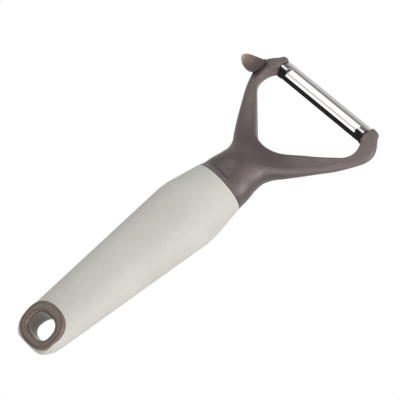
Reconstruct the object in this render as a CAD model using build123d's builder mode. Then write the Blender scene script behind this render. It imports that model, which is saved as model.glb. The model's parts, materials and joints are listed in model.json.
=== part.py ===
from build123d import *
import os
from math import atan2, cos, degrees, radians, sin, sqrt

os.makedirs("parts", exist_ok=True)

# A Y-shaped vegetable peeler with a fat two-colour handle, in millimetres.
# +X runs from the tail to the blade, +Y is the eye remover's side, +Z is up.
# The origin lies on the axis of the hanging hole, on the handle's own centre line.

# Handle form: an oval body that swells from the tail to the knee and narrows to the neck
tail_reach = 9.8
grip_length = 104.6
tail_end_width = 14.8
tail_end_thickness = 8.4
tail_end_length = 5.7
tail_end_round = 4.5
tail_width = 22.6
tail_thickness = 12.2
tail_round = 12.0
tail_fullness = 0.64
knee_width = 31.8
knee_thickness = 24.8
knee_fullness = 0.66
knee_radius = 36.0
knee_from_seam = 17.2
seam_width = 26.5
seam_thickness = 21.4
soft_skin = 2.2

# Hanging eyelet: an insert on the sloping tail facet
facet_slope = 20.0
facet_height = 4.4
eyelet_length = 19.2
eyelet_width = 20.8
eyelet_fullness = 0.66
eyelet_offset = 0.5
eyelet_lip = 2.0
eyelet_edge_round = 1.0
hole_length = 10.6
hole_width = 12.8
hole_corner = 4.6
hole_mouth_round = 0.9
eyelet_wall = 2.0

# Hard core under the soft grip, and the yoke's tang and register that seat in it
core_mouth_wall = 1.6
tang_length = 58.0
tang_width = 15.0
tang_thickness = 10.0
tang_corner = 2.0
tang_clearance = 0.05
register_length = 6.0

# Shadow groove where the yoke meets the grip
groove_width = 0.5
groove_depth = 0.5

# Yoke: neck, two arms and their ears, with its sections as shares of its main sizes
yoke_length = 64.2
arm_span = 71.0
arm_drop = 1.5
crotch_radius = 14.0
shoulder_radius = 8.5
shoulder_wall = 3.5
shoulder_from_tip = 14.63
window_edge_round = 1.4
ear_width = 9.0
ear_face_length = 6.2
ear_face_round = 2.0
ear_nose_round = 0.9
window_apex_share = 0.339
yoke_shares = [
    # place by yoke length, width by arm span, thickness by seam thickness, drop by arm drop, fullness
    (0.151, 0.329, 0.869, 0.13, 0.55),
    (0.226, 0.317, 0.785, 0.27, 0.57),
    (0.286, 0.354, 0.664, 0.47, 0.62),
    (0.354, 0.457, 0.523, 0.67, 0.68),
    (0.437, 0.580, 0.402, 0.80, 0.75),
    (0.550, 0.734, 0.327, 0.93, 0.82),
    (0.655, 0.869, 0.299, 1.00, 0.86),
    (0.753, 0.966, 0.299, 1.00, 0.86),
    (0.825, 1.012, 0.318, 0.87, 0.86),
    (0.898, 0.990, 0.380, 0.40, 0.84),
    (0.946, 0.925, 0.400, 0.20, 0.82),
    (1.000, 0.857, 0.380, 0.10, 0.80),
]

# Blade: one stamped strip of steel, folded into a channel with its crown up
blade_sheet = 0.6
flange_length = 5.2
flange_slope = 39.5
crown_radius = 1.3
blade_side_clearance = 0.4
blade_tilt = 7.0
cutting_edge_height = 3.68
cutting_edge_land = 0.08
bevel_height = 2.1
front_rail_height = 3.25
end_web_length = 3.3
slot_corner = 0.9
pivot_from_tip = 4.1
pivot_below_crown = 2.9
end_tab_radius = 2.2

# Blade pins
pin_diameter = 1.8
pin_running_clearance = 0.05
pin_bore_depth = 4.0
pin_head_diameter = 2.8
pin_head_thickness = 0.6
pin_end_play = 0.1

# Stop ledges under the blade's ends
stop_tilt = 28.0
ledge_reach = 1.6
ledge_length = 6.6
ledge_thickness = 1.0

# Eye remover: a thin scoop on the left arm's shoulder
scoop_width = 7.8
scoop_reach = 8.8
scoop_sheet = 1.2
scoop_bowl_radius = 11.0
scoop_from_tip = 11.7
scoop_root = 3.0
scoop_low_point = -1.2

# Overrun of the cutting shapes past the faces that they cut
cut_overrun = 2.0

# Places that follow from the sizes above
round_fullness = 4 * (sqrt(2) - 1) / 3
seam_x = grip_length - tail_reach
knee_x = seam_x - knee_from_seam
yoke_tip_x = seam_x + yoke_length
pivot_x = yoke_tip_x - pivot_from_tip
register_inset = soft_skin + core_mouth_wall
boss_inset = register_inset + tang_clearance
ear_face_y = arm_span / 2 - ear_width
blade_end_y = ear_face_y - blade_side_clearance
flange_run = flange_length * cos(radians(flange_slope))
flange_drop = flange_length * sin(radians(flange_slope))
low_corner_x = flange_run - blade_sheet * sin(radians(flange_slope))
low_corner_y = pivot_below_crown - flange_drop - blade_sheet * cos(radians(flange_slope))
low_corner_reach = sqrt(low_corner_x**2 + low_corner_y**2)
low_corner_angle = atan2(-low_corner_y, low_corner_x)
ledge_height = -low_corner_reach * sin(low_corner_angle + radians(stop_tilt))
slot_rear = blade_sheet * sin(radians(flange_slope)) - (flange_length - cutting_edge_height) * cos(
    radians(flange_slope)
)
slot_front = (flange_length - front_rail_height) * cos(radians(flange_slope))
slot_length = 2 * (blade_end_y - end_web_length)
bevel_fall = (blade_sheet - cutting_edge_land) / (cutting_edge_height - bevel_height)
pin_head_y = blade_end_y - blade_sheet - pin_end_play - pin_head_thickness
facet_plane = Plane(
    origin=(-facet_height * sin(radians(facet_slope)), 0, facet_height * cos(radians(facet_slope))),
    x_dir=(cos(radians(facet_slope)), 0, sin(radians(facet_slope))),
    z_dir=(-sin(radians(facet_slope)), 0, cos(radians(facet_slope))),
)
tail_fall = degrees(atan2(eyelet_lip, eyelet_length / 2))
facet_axis = Axis(facet_plane.origin, facet_plane.z_dir)
blade_plane = Plane(
    origin=(pivot_x, 0, 0),
    x_dir=(cos(radians(blade_tilt)), 0, sin(radians(blade_tilt))),
    z_dir=(0, -1, 0),
)
blade_top_plane = Plane(
    origin=(pivot_x, 0, 0),
    x_dir=(cos(radians(blade_tilt)), 0, sin(radians(blade_tilt))),
    z_dir=(-sin(radians(blade_tilt)), 0, cos(radians(blade_tilt))),
)

bevel_plane = Plane(
    origin=blade_plane.from_local_coords((-flange_run, pivot_below_crown - flange_drop, 0)),
    x_dir=blade_plane.from_local_coords((cos(radians(flange_slope)), sin(radians(flange_slope)), 0))
    - blade_plane.origin,
    z_dir=blade_plane.z_dir,
)


def oval(half_width, half_thickness, fullness):
    """Oval section of four equal quarters, fuller than an ellipse as fullness grows."""
    side = (half_width, 0)
    top = (0, half_thickness)
    high = fullness * half_thickness
    wide = fullness * half_width
    with BuildSketch() as section:
        with BuildLine():
            Bezier(side, (half_width, high), (wide, half_thickness), top)
            mirror(about=Plane.YZ)
            mirror(about=Plane.XZ)
        make_face()
    return section.sketch


def handle_form(inset, stations, rounds):
    """Handle's form through (place, width, thickness, fullness) stations, drawn in by inset."""
    with BuildPart() as form:
        for place, width, thickness, fullness in stations:
            with BuildSketch(Plane.YZ.offset(place)):
                add(oval(width / 2 - inset, thickness / 2 - inset, fullness))
        loft(ruled=True)
        for place, radius in rounds:
            fillet(form.edges().filter_by_position(Axis.X, place, place), radius=radius - inset)
    return form.part


def hole_outline(growth):
    """Hanging hole's outline in the facet plane, grown all round by growth."""
    with BuildSketch() as outline:
        RectangleRounded(
            hole_length + 2 * growth, hole_width + 2 * growth, radius=hole_corner + growth
        )
    return outline.sketch


def window_outline():
    """Plan outline of the opening between the arms, open at the front."""
    apex_x = seam_x + window_apex_share * yoke_length
    corner_x = yoke_tip_x - shoulder_from_tip
    corner_y = arm_span / 2 - shoulder_wall
    ear_x = yoke_tip_x - ear_face_length
    front_x = yoke_tip_x + cut_overrun
    with BuildSketch() as outline:
        with BuildLine():
            FilletPolyline(
                (front_x, -ear_face_y),
                (ear_x, -ear_face_y),
                (corner_x, -corner_y),
                (apex_x, 0),
                (corner_x, corner_y),
                (ear_x, ear_face_y),
                (front_x, ear_face_y),
                radius=(
                    ear_face_round,
                    shoulder_radius,
                    crotch_radius,
                    shoulder_radius,
                    ear_face_round,
                ),
            )
            Line((front_x, ear_face_y), (front_x, -ear_face_y))
        make_face()
    return outline.sketch


tail_tip_x = -tail_reach
tail_x = tail_tip_x + tail_end_length
tail_tip = (tail_tip_x, tail_end_width, tail_end_thickness, tail_fullness)
body_stations = [
    (tail_x, tail_width, tail_thickness, tail_fullness),
    (knee_x, knee_width, knee_thickness, knee_fullness),
    (seam_x, seam_width, seam_thickness, round_fullness),
]
handle_outside = handle_form(
    0,
    [tail_tip, *body_stations],
    [(tail_tip_x, tail_end_round), (tail_x, tail_round), (knee_x, knee_radius)],
)
handle_inside = handle_form(soft_skin, body_stations, [(knee_x, knee_radius)])

# Eyelet: a lip that covers the facet and a tube down through the tail
with BuildPart() as eyelet_lip_block:
    with BuildSketch(facet_plane):
        with Locations((eyelet_offset, 0)):
            add(oval(eyelet_length / 2, eyelet_width / 2, eyelet_fullness))
    extrude(amount=-eyelet_lip)

with BuildPart() as eyelet_tube_block:
    with BuildSketch(facet_plane):
        add(hole_outline(eyelet_wall))
    extrude(amount=-knee_thickness)
    add(handle_outside, mode=Mode.INTERSECT)

with BuildPart() as hanging_eyelet:
    add(eyelet_lip_block.part)
    lip_top = hanging_eyelet.faces().filter_by(facet_plane).sort_by(facet_axis)[-1]
    fillet(lip_top.edges(), radius=eyelet_edge_round)
    add(eyelet_tube_block.part)
    with BuildSketch(facet_plane):
        add(hole_outline(0))
    extrude(amount=-knee_thickness, mode=Mode.SUBTRACT)
    mouth = hanging_eyelet.faces().filter_by(facet_plane).sort_by(facet_axis)[-1].inner_wires()
    fillet(mouth.edges(), radius=hole_mouth_round)
hanging_eyelet.part.label = "hanging_eyelet"
export_step(hanging_eyelet.part, "parts/hanging_eyelet.step")

# Space above the facet, which the grip leaves free, falling away under the lip at the tail
with BuildPart() as facet_space:
    with BuildSketch(facet_plane):
        Rectangle(grip_length, grip_length)
    extrude(amount=knee_thickness)
    with BuildSketch(facet_plane.rotated((0, -tail_fall, 0))):
        Rectangle(grip_length, grip_length, align=(Align.MAX, Align.CENTER))
    extrude(amount=knee_thickness)

# Grip: the soft outer skin
with BuildPart() as grip:
    add(handle_outside)
    add(handle_inside, mode=Mode.SUBTRACT)
    for space in (facet_space, eyelet_lip_block, eyelet_tube_block):
        add(space.part, mode=Mode.SUBTRACT)
grip.part.label = "grip"
export_step(grip.part, "parts/grip.step")

# Handle core: the hard body that the skin is moulded on, with a socket for the tang
with BuildPart() as handle_core:
    add(handle_inside)
    for space in (facet_space, eyelet_lip_block, eyelet_tube_block):
        add(space.part, mode=Mode.SUBTRACT)
    with BuildSketch(Plane.YZ.offset(seam_x)):
        Rectangle(tang_width + 2 * tang_clearance, tang_thickness + 2 * tang_clearance)
    extrude(amount=-(tang_length + tang_clearance), mode=Mode.SUBTRACT)
    with BuildSketch(Plane.YZ.offset(seam_x)):
        add(oval(seam_width / 2 - register_inset, seam_thickness / 2 - register_inset, round_fullness))
    extrude(amount=-(register_length + tang_clearance), mode=Mode.SUBTRACT)
handle_core.part.label = "handle_core"
export_step(handle_core.part, "parts/handle_core.step")

# Eye remover: a slice of a spherical bowl, cut to a rounded tongue
with BuildPart() as eye_remover:
    scoop_x = yoke_tip_x - scoop_from_tip
    with Locations((scoop_x, arm_span / 2 + scoop_reach / 2, scoop_low_point + scoop_bowl_radius)):
        Sphere(scoop_bowl_radius)
        Sphere(scoop_bowl_radius - scoop_sheet, mode=Mode.SUBTRACT)
    with BuildSketch(Plane.XY):
        with Locations((scoop_x, arm_span / 2)):
            Ellipse(scoop_width / 2, scoop_reach)
            Rectangle(
                scoop_width, scoop_reach + cut_overrun, align=(Align.CENTER, Align.MAX), mode=Mode.SUBTRACT
            )
            Rectangle(scoop_width, scoop_root, align=(Align.CENTER, Align.MAX))
    extrude(amount=scoop_bowl_radius / 2, both=True, mode=Mode.INTERSECT)
eye_remover.part.label = "eye_remover"
export_step(eye_remover.part, "parts/eye_remover.step")

# Yoke: a loft from the seam's oval to the flat span of the arms, opened by the window
with BuildPart() as yoke:
    with BuildSketch(Plane.YZ.offset(seam_x)):
        add(oval(seam_width / 2, seam_thickness / 2, round_fullness))
    for place, width, thickness, drop, fullness in yoke_shares:
        section_middle = (seam_x + place * yoke_length, 0, -drop * arm_drop)
        with BuildSketch(Plane(section_middle, x_dir=(0, 1, 0), z_dir=(1, 0, 0))):
            add(oval(width * arm_span / 2, thickness * seam_thickness / 2, fullness))
    loft()
    with BuildSketch(Plane.XY):
        add(window_outline())
    extrude(amount=seam_thickness, both=True, mode=Mode.SUBTRACT)
    flat_faces = yoke.faces().filter_by(GeomType.BSPLINE, reverse=True).sort_by(Axis.X)
    window_walls = flat_faces[1:-2]
    fillet(window_walls.edges().filter_by(Axis.Z, reverse=True), radius=window_edge_round)
    ear_noses = yoke.faces().filter_by(Axis.X).sort_by(Axis.X)[-2:]
    fillet(ear_noses.edges(), radius=ear_nose_round)
    # Shadow groove round the seam
    with BuildSketch(Plane.YZ.offset(seam_x)):
        Rectangle(knee_width, knee_width)
        groove_floor = oval(
            seam_width / 2 - groove_depth, seam_thickness / 2 - groove_depth, round_fullness
        )
        add(groove_floor, mode=Mode.SUBTRACT)
    extrude(amount=groove_width, mode=Mode.SUBTRACT)
    # Register and tang, which seat in the handle core
    with BuildSketch(Plane.YZ.offset(seam_x)):
        add(oval(seam_width / 2 - boss_inset, seam_thickness / 2 - boss_inset, round_fullness))
    extrude(amount=-register_length)
    with BuildSketch(Plane.YZ.offset(seam_x)):
        Rectangle(tang_width, tang_thickness)
    extrude(amount=-tang_length)
    # Stop ledges, which the blade's edge meets at the end of its swing
    with BuildSketch(Plane.XY.offset(ledge_height)):
        with Locations((pivot_x, ear_face_y), (pivot_x, -ear_face_y)):
            Rectangle(ledge_length, 2 * ledge_reach)
    extrude(amount=-ledge_thickness)
    # Bores for the blade pins
    with BuildSketch(Plane.XZ):
        with Locations((pivot_x, 0)):
            Circle(pin_diameter / 2)
    extrude(amount=ear_face_y + pin_bore_depth, both=True, mode=Mode.SUBTRACT)
    add(eye_remover.part, mode=Mode.SUBTRACT)
yoke.part.label = "yoke"
export_step(yoke.part, "parts/yoke.step")

# Blade: arch-shaped channel with a tab at each end, slotted along the crown
with BuildPart() as blade:
    with BuildSketch(blade_plane):
        with BuildLine():
            FilletPolyline(
                (-flange_run, pivot_below_crown - flange_drop),
                (0, pivot_below_crown),
                (flange_run, pivot_below_crown - flange_drop),
                radius=crown_radius,
            )
            offset(amount=blade_sheet, side=Side.RIGHT)
        make_face()
    extrude(amount=blade_end_y, both=True)
    for tab_place in (blade_end_y - blade_sheet, -blade_end_y):
        with BuildSketch(blade_plane.offset(tab_place)):
            Circle(end_tab_radius)
            Circle(pin_diameter / 2 + pin_running_clearance, mode=Mode.SUBTRACT)
        extrude(amount=blade_sheet)
    # Slot along the crown, which the peel passes through
    with BuildSketch(blade_top_plane):
        with Locations(((slot_front + slot_rear) / 2, 0)):
            RectangleRounded(slot_front - slot_rear, slot_length, radius=slot_corner)
    extrude(amount=flange_length, both=True, mode=Mode.SUBTRACT)
    # Ground bevel that sharpens the rear rail
    with BuildSketch(bevel_plane):
        with BuildLine():
            Polyline(
                (bevel_height, 0),
                (flange_length, -bevel_fall * (flange_length - bevel_height)),
                (flange_length, flange_length),
                close=True,
            )
        make_face()
    extrude(amount=slot_length / 2 - slot_corner, both=True, mode=Mode.SUBTRACT)
blade.part.label = "blade"
export_step(blade.part, "parts/blade.step")

# Blade pins: a shank pressed into each ear and a head that keeps the blade's tab on it
for name, side in (("blade_pin_left", 1), ("blade_pin_right", -1)):
    with BuildPart() as pin:
        with BuildSketch(Plane.XZ.offset(-side * pin_head_y)):
            with Locations((pivot_x, 0)):
                Circle(pin_head_diameter / 2)
        extrude(amount=-side * pin_head_thickness)
        with BuildSketch(Plane.XZ.offset(-side * pin_head_y)):
            with Locations((pivot_x, 0)):
                Circle(pin_diameter / 2)
        extrude(amount=-side * (ear_face_y + pin_bore_depth - pin_head_y))
    pin.part.label = name
    export_step(pin.part, f"parts/{name}.step")
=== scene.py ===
import json
import math

import bpy
import numpy as np
from mathutils import Matrix, Vector


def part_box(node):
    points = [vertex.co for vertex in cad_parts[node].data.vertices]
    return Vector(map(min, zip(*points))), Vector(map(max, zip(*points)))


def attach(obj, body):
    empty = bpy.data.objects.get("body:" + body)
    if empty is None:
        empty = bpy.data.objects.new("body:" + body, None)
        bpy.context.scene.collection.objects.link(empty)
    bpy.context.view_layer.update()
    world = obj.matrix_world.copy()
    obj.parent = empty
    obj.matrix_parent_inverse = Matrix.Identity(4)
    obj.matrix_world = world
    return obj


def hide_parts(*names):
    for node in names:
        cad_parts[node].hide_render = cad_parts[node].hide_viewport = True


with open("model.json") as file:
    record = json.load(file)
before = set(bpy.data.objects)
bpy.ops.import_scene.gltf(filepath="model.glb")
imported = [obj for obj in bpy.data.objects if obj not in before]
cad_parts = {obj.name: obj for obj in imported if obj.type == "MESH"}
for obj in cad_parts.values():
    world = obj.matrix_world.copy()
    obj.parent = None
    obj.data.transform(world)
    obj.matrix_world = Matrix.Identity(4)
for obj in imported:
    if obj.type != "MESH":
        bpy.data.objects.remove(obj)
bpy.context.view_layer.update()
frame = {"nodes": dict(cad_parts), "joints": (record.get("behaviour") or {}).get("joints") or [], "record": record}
nodes = frame["nodes"]

# Lengths are in metres, angles in degrees, and colours are linear.
# X runs from the tail to the blade, Y is the eye remover's side, Z is up.

# Places and directions that the looks are tied to
seam_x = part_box("grip")[1].x
yoke_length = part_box("yoke")[1].x - seam_x
pivot_x = frame["joints"][0]["pos_m"][0]
scoop_low, scoop_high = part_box("eye_remover")
eyelet_face = frame["record"]["mounts"][0]["axis"]
level_face = (0, 0, 1)

# Colours
GRIP_PALE = (0.62, 0.607, 0.566, 1)
GRIP_SHADE = (0.528, 0.514, 0.478, 1)
GRIP_SHEEN = (1, 0.98, 0.94, 1)
TAUPE = (0.097, 0.071, 0.073, 1)
TAUPE_DEEP = (0.077, 0.056, 0.058, 1)
# Lighter yoke plastic: painted light on the arms and a painted highlight on the rims
TAUPE_LIT = (0.150, 0.118, 0.115, 1)
UMBER = (0.116, 0.078, 0.065, 1)
UMBER_DEEP = (0.096, 0.062, 0.052, 1)
# Painted highlight on the eyelet's rims
UMBER_RIM = (0.215, 0.15, 0.112, 1)
# Scoop: painted light toward its thin tip, and a painted highlight on its lip
SCOOP_TIP_LIT = (0.27, 0.195, 0.145, 1)
SCOOP_LIP_HIGHLIGHT = (0.60, 0.52, 0.42, 1)
STEEL = (0.66, 0.655, 0.66, 1)
STEEL_DULL = (0.58, 0.575, 0.585, 1)
# Painted shade on the blade's front rail beside the slot
STEEL_SHADED = (0.20, 0.19, 0.19, 1)
STEEL_LINE = (0.47, 0.46, 0.455, 1)
# Bluish painted reflection on the blade's rear flange
STEEL_REFLECTED_BLUE = (0.50, 0.48, 0.535, 1)
# Painted highlight on the blade's front rail and on its bevel
STEEL_HIGHLIGHT = (0.90, 0.885, 0.87, 1)
LIT_WHITE = (1.0, 0.99, 0.98, 1)
WHITE = (1, 1, 1, 1)

# Ranges that every shader reads: all of a factor, and where most of a noise lies
WHOLE = (0, 1)
TURNED_ROUND = (1, 0)
MIDDLE = (0.3, 0.7)
NOISE_ROUGHNESS = 0.55
ROUNDING_SAMPLES = 12
OPENNESS_SAMPLES = 8


def beside(place, offsets):
    """Places that lie at their offsets from one place."""
    return [place + offset for offset in offsets]


class Graph:
    """Node tree with short calls for the nodes that the looks are made of."""

    def __init__(self, tree):
        tree.nodes.clear()
        self.nodes, self.links = tree.nodes, tree.links
        self.place = self.nodes.new("ShaderNodeTexCoord")

    def feed(self, socket, value):
        """Link the socket to another node's, or set it to a constant."""
        if isinstance(value, bpy.types.NodeSocket):
            self.links.new(value, socket)
        else:
            socket.default_value = value

    def add(self, kind, inputs, **settings):
        """New node with its settings made and its inputs fed."""
        node = self.nodes.new(kind)
        for name, value in settings.items():
            setattr(node, name, value)
        for socket, value in inputs.items():
            self.feed(node.inputs[socket], value)
        return node

    def math(self, kind, first, second):
        return self.add("ShaderNodeMath", {0: first, 1: second}, operation=kind).outputs["Value"]

    def toward(self, vector, direction):
        """Cosine of the angle between the vector and the direction."""
        node = self.add("ShaderNodeVectorMath", {0: vector, 1: direction},
                        operation="DOT_PRODUCT")
        return node.outputs["Value"]

    def span(self, value, source, target, smooth=False):
        """Value with its source range mapped onto the target range."""
        ends = {"From Min": source[0], "From Max": source[1],
                "To Min": target[0], "To Max": target[1]}
        node = self.add("ShaderNodeMapRange", {"Value": value, **ends},
                        interpolation_type="SMOOTHSTEP" if smooth else "LINEAR")
        return node.outputs["Result"]


class Skin(Graph):
    """Material of one Principled shader."""

    def __init__(self, name):
        self.material = bpy.data.materials.new(name)
        self.material.use_nodes = True
        super().__init__(self.material.node_tree)

    def paint(self, inputs):
        shader = self.add("ShaderNodeBsdfPrincipled", inputs)
        self.add("ShaderNodeOutputMaterial", {"Surface": shader.outputs["BSDF"]})
        return self.material

    def axis(self, kind, letter):
        """One coordinate of the object's places or of its normals."""
        node = self.add("ShaderNodeSeparateXYZ", {"Vector": self.place.outputs[kind]})
        return node.outputs[letter]

    def noise(self, scale, detail, stretch=(1, 1, 1)):
        """Noise in the object's own metres, stretched along its axes."""
        place = self.add("ShaderNodeMapping",
                         {"Vector": self.place.outputs["Object"], "Scale": stretch})
        node = self.add("ShaderNodeTexNoise",
                        {"Vector": place.outputs["Vector"], "Scale": scale,
                         "Detail": detail, "Roughness": NOISE_ROUGHNESS})
        return node.outputs["Fac"]

    def mix(self, factor, first, second):
        node = self.add("ShaderNodeMix", {"Factor": factor, "A": first, "B": second},
                        data_type="RGBA")
        return node.outputs["Result"]

    def bump(self, height, strength, depth, under=None):
        inputs = {"Height": height, "Strength": strength, "Distance": depth}
        if under:
            inputs["Normal"] = under
        return self.add("ShaderNodeBump", inputs).outputs["Normal"]

    def rounded(self, radius):
        """Surface direction with every edge rounded over the radius."""
        node = self.add("ShaderNodeBevel", {"Radius": radius}, samples=ROUNDING_SAMPLES)
        return node.outputs["Normal"]

    def openness(self, reach):
        """1 in the open, toward 0 in a hole or a groove."""
        node = self.add("ShaderNodeAmbientOcclusion", {"Distance": reach},
                        samples=OPENNESS_SAMPLES)
        return node.outputs["AO"]


# Noises are in waves per metre and octaves. A relief is the height that a noise lifts.
GRIP_CLOUD = {"scale": 38, "detail": 5}
GRIP_MOTTLE = {"scale": 1050, "detail": 2}
GRIP_GRAIN = {"scale": 5200, "detail": 3}
GRIP_SWELL = {"scale": 160, "detail": 4}
GRIP_GRAIN_RELIEF = {"strength": 0.35, "depth": 0.00003}
GRIP_SWELL_RELIEF = {"strength": 0.25, "depth": 0.00006}
CLOUD_SHARE = (0.2, 0.8)
MOTTLE_RANGE = (0.35, 0.65)
MOTTLE_SHARE = (-0.12, 0.25)
GRAIN_AND_CLOUD = (0.6, 1.4)
GRIP_ROUGHNESS = (0.50, 0.64)


def soft_grip():
    """Pale rubber skin, faintly mottled and finely grained."""
    skin = Skin("soft grip rubber")
    cloud, grain = skin.noise(**GRIP_CLOUD), skin.noise(**GRIP_GRAIN)
    mottle = skin.span(skin.noise(**GRIP_MOTTLE), MOTTLE_RANGE, MOTTLE_SHARE)
    paleness = skin.math("ADD", skin.span(cloud, MIDDLE, CLOUD_SHARE), mottle)
    swell = skin.bump(skin.noise(**GRIP_SWELL), **GRIP_SWELL_RELIEF)
    return skin.paint({
        "Base Color": skin.mix(paleness, GRIP_SHADE, GRIP_PALE),
        "Roughness": skin.span(skin.math("ADD", grain, cloud), GRAIN_AND_CLOUD, GRIP_ROUGHNESS),
        "Normal": skin.bump(grain, **GRIP_GRAIN_RELIEF, under=swell),
        "IOR": 1.45,
        "Specular IOR Level": 0.35,
        "Sheen Weight": 0.25,
        "Sheen Roughness": 0.5,
        "Sheen Tint": GRIP_SHEEN,
    })


PLASTIC_FLOW = {"scale": 30, "detail": 6, "stretch": (1, 2.6, 2.6)}
PLASTIC_HIGHLIGHT_BREAKUP = {"scale": 300, "detail": 4}
PLASTIC_SPARK = {"scale": 3600, "detail": 3}
PLASTIC_SWELL = {"scale": 110, "detail": 3}
PLASTIC_SPARK_RELIEF = {"strength": 0.25, "depth": 0.00002}
PLASTIC_SWELL_RELIEF = {"strength": 0.2, "depth": 0.00005}
FLOW_RANGE = (0.32, 0.68)
BREAKUP_RANGE = (0.3, 0.6)
BREAKUP_SHARE = (0.5, 1.0)
FLOW_AND_SPARK = (0.7, 1.3)
ROUGHNESS_SWING = 0.05
# Where the painted light on the arms begins and is full, as shares of the yoke from the seam
ARM_LIGHTING = (0.268, 0.735)
# Lean between a flat face and its rims: cosines where the painted rim highlight starts and ends
RIM_OUTER = (0.25, 0.60)
RIM_INNER = (0.80, 0.97)
HOLLOW_REACH = 0.006
HOLLOW_SHADE = (0.60, 0.55, 0.52)


def moulded_plastic(name, deep, pale, arm, rim, face, roughness, coat, rounding=None):
    """Satin moulding: flow shades, arms painted lighter as painted light, rims with a painted highlight, and
    painted shade in hollows.
    """
    skin = Skin(name)
    flow, spark = skin.noise(**PLASTIC_FLOW), skin.noise(**PLASTIC_SPARK)
    colour = skin.mix(skin.span(flow, FLOW_RANGE, WHOLE), deep, pale)
    # Arms painted lighter toward the blade: painted light
    arms = beside(seam_x, [share * yoke_length for share in ARM_LIGHTING])
    colour = skin.mix(skin.span(skin.axis("Object", "X"), arms, WHOLE, smooth=True), colour, arm)
    # Rims turned from the face get a painted highlight, broken up by noise
    lean = skin.toward(skin.place.outputs["Normal"], face)
    rims = skin.math("MULTIPLY", skin.span(lean, RIM_OUTER, WHOLE, smooth=True),
                     skin.span(lean, RIM_INNER, TURNED_ROUND, smooth=True))
    highlight_breakup = skin.span(skin.noise(**PLASTIC_HIGHLIGHT_BREAKUP), BREAKUP_RANGE, BREAKUP_SHARE)
    rim_highlight = skin.math("MULTIPLY", rims, highlight_breakup)
    colour = skin.mix(rim_highlight, colour, rim)
    # Painted shade: holes and grooves coloured darker where they are less open
    hollow = (*(shade * part for shade, part in zip(deep, HOLLOW_SHADE)), 1)
    soft = skin.rounded(rounding) if rounding else None
    swell = skin.bump(skin.noise(**PLASTIC_SWELL), **PLASTIC_SWELL_RELIEF, under=soft)
    surface = skin.bump(spark, **PLASTIC_SPARK_RELIEF, under=swell)
    inputs = {
        "Base Color": skin.mix(skin.openness(HOLLOW_REACH), hollow, colour),
        "Roughness": skin.span(skin.math("ADD", flow, spark), FLOW_AND_SPARK,
                               (roughness - ROUGHNESS_SWING, roughness + ROUGHNESS_SWING)),
        "Normal": surface,
        "IOR": 1.5,
        "Coat Weight": coat,
        "Coat Roughness": 0.2,
    }
    if rounding:
        inputs["Coat Normal"] = surface
    return skin.paint(inputs)


SCOOP_CLOUD = {"scale": 150, "detail": 3}
SCOOP_SPARK = {"scale": 2600, "detail": 3}
SCOOP_SWELL = {"scale": 700, "detail": 3}
SCOOP_SWELL_RELIEF = {"strength": 0.1, "depth": 0.00001}
SCOOP_CLOUD_SHARE = (-0.04, 0.04)
SCOOP_ROUGHNESS = (0.30, 0.40)
SCOOP_LIGHT_SHARE = (0.05, 0.45)
SCOOP_LIGHT_DEPTH = 0.002
SCOOP_LIGHT_TINT = (1.0, 0.8, 0.62)
# Where the scoop thins and its colour is painted lighter as light through it, and where its lip gets a painted
# highlight, across from its tip
THINNING = (-0.0098, 0.0002)
LIP = (-0.0038, 0.0009)
# How the lip leans along the arm, about the scoop's middle
LIP_ALONG = (-0.0073, 0.0037)
LIP_LEAN = (0.0022, -0.0022)


def scoop_plastic():
    """Thin plastic that lets light through toward the scoop's lip; that light is also painted into its colour,
    lighter toward the tip, with a painted highlight on the lip.
    """
    skin = Skin("scoop plastic")
    side = skin.axis("Object", "Y")
    thin = skin.span(side, beside(scoop_high.y, THINNING), WHOLE, smooth=True)
    cloud = skin.span(skin.noise(**SCOOP_CLOUD), MIDDLE, SCOOP_CLOUD_SHARE)
    body = skin.mix(skin.math("ADD", thin, cloud), TAUPE, SCOOP_TIP_LIT)
    middle = (scoop_low.x + scoop_high.x) / 2
    lean = skin.span(skin.axis("Object", "X"), beside(middle, LIP_ALONG), LIP_LEAN)
    reach = skin.math("ADD", side, lean)
    lip = skin.span(reach, beside(scoop_high.y, LIP), WHOLE, smooth=True)
    return skin.paint({
        "Base Color": skin.mix(lip, body, SCOOP_LIP_HIGHLIGHT),
        "Roughness": skin.span(skin.noise(**SCOOP_SPARK), MIDDLE, SCOOP_ROUGHNESS),
        "Normal": skin.bump(skin.noise(**SCOOP_SWELL), **SCOOP_SWELL_RELIEF),
        "IOR": 1.5,
        "Subsurface Weight": skin.span(thin, WHOLE, SCOOP_LIGHT_SHARE),
        "Subsurface Scale": SCOOP_LIGHT_DEPTH,
        "Subsurface Radius": SCOOP_LIGHT_TINT,
    })


ROLLING = {"scale": 420, "detail": 3, "stretch": (3, 0.05, 3)}
ROLLING_RELIEF = {"strength": 0.015, "depth": 0.00001}
STRIP_ROUGHNESS = (0.06, 0.11)
BEVEL_ROUGHNESS = (0, 0.10)
# Blade: places along X from the pivot, and how far its faces look forward, as cosines
RAIL = (0.0011, 0.0033)
EDGE_LINE = (-0.00165, -0.00145)
RAIL_FACING = (0.30, 0.45)
BEVEL_FACING_REAR = (-0.66, -0.58)
BEVEL_FACING_FRONT = (-0.40, -0.30)
FLANGE_FACING = (-0.70, -0.66)


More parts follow.
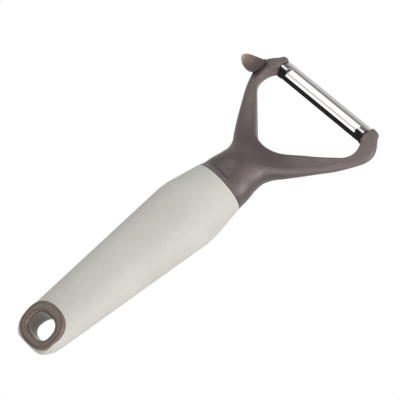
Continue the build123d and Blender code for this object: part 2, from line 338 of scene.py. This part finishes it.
def strip_steel():
    """Rolled steel with its rolling lines along the blade and a ground bevel painted bright as a painted
    highlight.
    """
    skin = Skin("strip steel")
    rolling = skin.noise(**ROLLING)
    forward, along = skin.axis("Normal", "X"), skin.axis("Object", "X")
    colour = skin.mix(skin.span(rolling, MIDDLE, WHOLE), STEEL_DULL, STEEL)
    # Front rail: painted shade beside the slot, painted highlight toward its front edge
    rail_shading = skin.span(along, beside(pivot_x, RAIL), TURNED_ROUND, smooth=True)
    rail = skin.mix(rail_shading, STEEL_HIGHLIGHT, STEEL_SHADED)
    colour = skin.mix(skin.span(forward, RAIL_FACING, WHOLE), colour, rail)
    # Bevel: painted brighter than the flange that it is ground on, a painted highlight, with a grey line at its
    # edge
    bevel = skin.math("MULTIPLY", skin.span(forward, BEVEL_FACING_REAR, WHOLE),
                      skin.span(forward, BEVEL_FACING_FRONT, TURNED_ROUND))
    colour = skin.mix(bevel, colour, STEEL_HIGHLIGHT)
    edge = skin.math("MULTIPLY", skin.span(along, beside(pivot_x, EDGE_LINE), WHOLE), bevel)
    colour = skin.mix(edge, colour, STEEL_LINE)
    # Rear flange: a bluish painted reflection
    colour = skin.mix(skin.span(forward, FLANGE_FACING, TURNED_ROUND), colour, STEEL_REFLECTED_BLUE)
    return skin.paint({
        "Base Color": colour,
        "Metallic": 1,
        "Roughness": skin.math("ADD", skin.span(rolling, MIDDLE, STRIP_ROUGHNESS),
                               skin.span(bevel, WHOLE, BEVEL_ROUGHNESS)),
        "Normal": skin.bump(rolling, **ROLLING_RELIEF),
    })


TURNING = {"scale": 3000, "detail": 4, "stretch": (1, 0.1, 1)}
TURNING_RELIEF = {"strength": 0.1, "depth": 0.00002}
PIN_ROUGHNESS = (0.18, 0.30)


def pin_steel():
    """Turned steel with its tool lines round the pin."""
    skin = Skin("pin steel")
    turning = skin.noise(**TURNING)
    return skin.paint({
        "Base Color": skin.mix(skin.span(turning, MIDDLE, WHOLE), STEEL_DULL, STEEL),
        "Metallic": 1,
        "Roughness": skin.span(turning, MIDDLE, PIN_ROUGHNESS),
        "Normal": skin.bump(turning, **TURNING_RELIEF),
    })


# Yoke sections from neck to shoulders, as the source lofts them: place from the seam by
# the yoke's length, width by the arm span
ARM_SPAN = 0.071
ARM_SECTIONS = (
    (0.151, 0.329),
    (0.226, 0.317),
    (0.286, 0.354),
    (0.354, 0.457),
    (0.437, 0.580),
    (0.550, 0.734),
    (0.655, 0.869),
    (0.753, 0.966),
    (0.825, 1.012),
)
# The fairing ends at a share of the yoke's length. It fades in after the first section,
# out before its end, and away toward the window's wall.
FAIRING_END = 0.774
FAIRING_FADE_IN = 0.003
FAIRING_FADE_OUT = 0.005
ARM_BLEND = 0.004
CUT_STEP = 0.0004
WINDOW_LEAST = 0.0005
NO_WINDOW = -1
SHARP_EDGE = 32


def fair_curve(places, values, at):
    """Cubic through the points whose slopes never overshoot their neighbours'."""
    gaps, rises = np.diff(places), np.diff(values)
    steps = rises / gaps
    slopes = np.empty(len(values))
    slopes[0], slopes[-1] = steps[0], steps[-1]
    before, after = steps[:-1], steps[1:]
    mean = 2 * before * after / np.where(before + after == 0, 1, before + after)
    slopes[1:-1] = np.where(before * after > 0, mean, 0)
    left = np.clip(np.searchsorted(places, at) - 1, 0, len(gaps) - 1)
    way = (at - places[left]) / gaps[left]
    rise = 3 * way**2 - 2 * way**3
    start_slope, end_slope = way**3 - 2 * way**2 + way, way**3 - way**2
    return ((1 - rise) * values[left] + rise * values[left + 1]
            + gaps[left] * (start_slope * slopes[left] + end_slope * slopes[left + 1]))


def ease(value):
    """Smooth step from 0 to 1."""
    value = np.clip(value, 0, 1)
    return value * value * (3 - 2 * value)


def cut_widths(spots, ends, cuts):
    """Least and greatest half width of the mesh at each cut across X."""
    first, last = spots[ends[0::2]], spots[ends[1::2]]
    inside, outside = [], []
    for cut in cuts:
        crosses = (first[:, 0] - cut) * (last[:, 0] - cut) < 0
        start, end = first[crosses], last[crosses]
        share = (cut - start[:, 0]) / (end[:, 0] - start[:, 0])
        widths = np.abs(start[:, 1] + share * (end[:, 1] - start[:, 1]))
        inside.append(widths.min())
        outside.append(widths.max())
    return np.array(inside), np.array(outside)


def faired_yoke():
    """Yoke with the outsides of its arms drawn as one fair curve from neck to shoulder."""
    mesh = nodes["yoke"].data.copy()
    mesh.name = "faired yoke"
    spots = np.empty(len(mesh.vertices) * 3)
    mesh.vertices.foreach_get("co", spots)
    spots = spots.reshape(-1, 3)
    ends = np.empty(len(mesh.edges) * 2, dtype=np.int64)
    mesh.edges.foreach_get("vertices", ends)
    shares, widths = np.array(ARM_SECTIONS).T
    places = seam_x + shares * yoke_length
    cuts = np.arange(places[0], places[-1], CUT_STEP)
    inside, outside = cut_widths(spots, ends, cuts)
    wave = outside - fair_curve(places, widths * ARM_SPAN / 2, cuts)
    wave *= ease((cuts - cuts[0]) / FAIRING_FADE_IN)
    wave *= ease((seam_x + FAIRING_END * yoke_length - cuts) / FAIRING_FADE_OUT)
    # The outside takes the whole shift, and the window's wall keeps its place
    along, across = spots[:, 0], np.abs(spots[:, 1])
    wall = np.interp(along, cuts, np.where(inside > WINDOW_LEAST, inside, NO_WINDOW))
    reach = np.interp(along, cuts, outside)
    taken = np.interp(along, cuts, wave, left=0, right=0)
    shift = taken * ease((across - wall) / ARM_BLEND) * across / reach
    spots[:, 1] -= np.sign(spots[:, 1]) * shift
    mesh.vertices.foreach_set("co", spots.ravel())
    if "custom_normal" in mesh.attributes:
        mesh.attributes.remove(mesh.attributes["custom_normal"])
    mesh.shade_smooth()
    mesh.set_sharp_from_angle(angle=math.radians(SHARP_EDGE))
    mesh.update()
    piece = bpy.data.objects.new("faired_yoke", mesh)
    bpy.context.scene.collection.objects.link(piece)
    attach(piece, "handle")
    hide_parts("yoke")
    return piece


def dress(piece, material):
    piece.data.materials.clear()
    piece.data.materials.append(material)


# Surroundings: direction, where the soft edge starts and ends, light outside and inside it
ROOM = ((0.15, -0.90, -0.20), 10, 105, 0.60, 0.80)
SOFT_BOXES = (
    ((0.24, 0.50, 0.83), 6, 26, 0, 1.0),
    ((0.26, -0.79, 0.49), 6, 22, 0, 1.0),
    ((0.22, -0.97, 0.04), 6, 24, 0, 1.5),
    ((-0.52, 0.50, 0.68), 8, 17, 0, 0.7),
    ((-0.27, 0.55, 0.79), 3, 9, 0, 1.6),
    ((-0.50, -0.70, 0.48), 6, 26, 0, 0.9),
)
DARK_CARDS = (
    ((-0.15, 0.90, 0.10), 15, 70, 1, 0.82),
    ((-0.86, 0.49, 0.16), 17, 22, 1, 0.065),
    ((0.64, 0.45, 0.62), 10, 24, 1, 0.35),
)


def studio():
    """White to the camera, soft boxes and dark cards in what the surfaces reflect."""
    world = bpy.data.worlds.new("studio")
    bpy.context.scene.world = world
    world.use_nodes = True
    sky = Graph(world.node_tree)

    def patch(direction, inner, outer, low, high):
        """Soft-edged round patch of light or shade about a direction."""
        angle = sky.toward(sky.place.outputs["Generated"], Vector(direction).normalized())
        edge = (math.cos(math.radians(outer)), math.cos(math.radians(inner)))
        return sky.span(angle, edge, (low, high), smooth=True)

    level = patch(*ROOM)
    for box in SOFT_BOXES:
        level = sky.math("ADD", level, patch(*box))
    for card in DARK_CARDS:
        level = sky.math("MULTIPLY", level, patch(*card))
    lit = sky.add("ShaderNodeBackground", {"Color": LIT_WHITE, "Strength": level})
    seen = sky.add("ShaderNodeBackground", {"Color": WHITE})
    path = sky.add("ShaderNodeLightPath", {})
    mix = sky.add("ShaderNodeMixShader", {"Fac": path.outputs["Is Camera Ray"],
                                          1: lit.outputs["Background"],
                                          2: seen.outputs["Background"]})
    sky.add("ShaderNodeOutputWorld", {"Surface": mix.outputs["Shader"]})


# Lamps: name, place, what they aim at, and watts
LAMP_SIZE = (0.30, 0.20)
LAMPS = (
    ("key box", (0.24, -0.52, 0.22), (0.10, 0, 0), 0.40),
    ("top box", (-0.05, -0.10, 0.60), (0.08, 0, 0), 0.35),
)


def soft_light(name, place, aim, watts):
    lamp = bpy.data.lights.new(name, "AREA")
    lamp.shape = "RECTANGLE"
    lamp.size, lamp.size_y = LAMP_SIZE
    lamp.energy = watts
    light = bpy.data.objects.new(name, lamp)
    bpy.context.scene.collection.objects.link(light)
    light.location = place
    light.rotation_euler = (Vector(aim) - Vector(place)).to_track_quat("-Z", "Y").to_euler()
    light.visible_camera = False


# Camera as fitted to the photograph: where it aims and from where, with its roll
CAMERA_AIM = (0.085264, 0.000892, 0)
CAMERA_DISTANCE = 1.038127
CAMERA_AZIMUTH = -116.57305
CAMERA_ELEVATION = 54.78754
CAMERA_ROLL = -16.99311
CAMERA_REACH = (0.05, 10)
SENSOR_WIDTH = 36
FOCAL_LENGTH = 223.2


def photo_camera():
    """Camera at the photograph's angle."""
    lens = bpy.data.cameras.new("camera")
    lens.sensor_width = SENSOR_WIDTH
    lens.lens = FOCAL_LENGTH
    lens.clip_start, lens.clip_end = CAMERA_REACH
    camera = bpy.data.objects.new("camera", lens)
    bpy.context.scene.collection.objects.link(camera)
    turned = Matrix.Rotation(math.radians(90 + CAMERA_AZIMUTH), 4, "Z")
    tilted = Matrix.Rotation(math.radians(90 - CAMERA_ELEVATION), 4, "X")
    rolled = Matrix.Rotation(math.radians(CAMERA_ROLL), 4, "Z")
    back = Matrix.Translation((0, 0, CAMERA_DISTANCE))
    camera.matrix_world = Matrix.Translation(CAMERA_AIM) @ turned @ tilted @ rolled @ back
    return camera


EYELET_ROUNDING = 0.0022

taupe = moulded_plastic("yoke plastic", deep=TAUPE_DEEP, pale=TAUPE, arm=TAUPE_LIT,
                        rim=TAUPE_LIT, face=level_face, roughness=0.34, coat=0.25)
umber = moulded_plastic("eyelet plastic", deep=UMBER_DEEP, pale=UMBER, arm=UMBER,
                        rim=UMBER_RIM, face=eyelet_face, roughness=0.18, coat=0.45,
                        rounding=EYELET_ROUNDING)
pin = pin_steel()
dress(nodes["grip"], soft_grip())
dress(nodes["handle_core"], taupe)
dress(faired_yoke(), taupe)
dress(nodes["hanging_eyelet"], umber)
dress(nodes["eye_remover"], scoop_plastic())
dress(nodes["blade"], strip_steel())
dress(nodes["blade_pin_left"], pin)
dress(nodes["blade_pin_right"], pin)

studio()
for lamp in LAMPS:
    soft_light(*lamp)
bpy.context.scene.camera = photo_camera()
bpy.context.scene.view_settings.view_transform = "Standard"
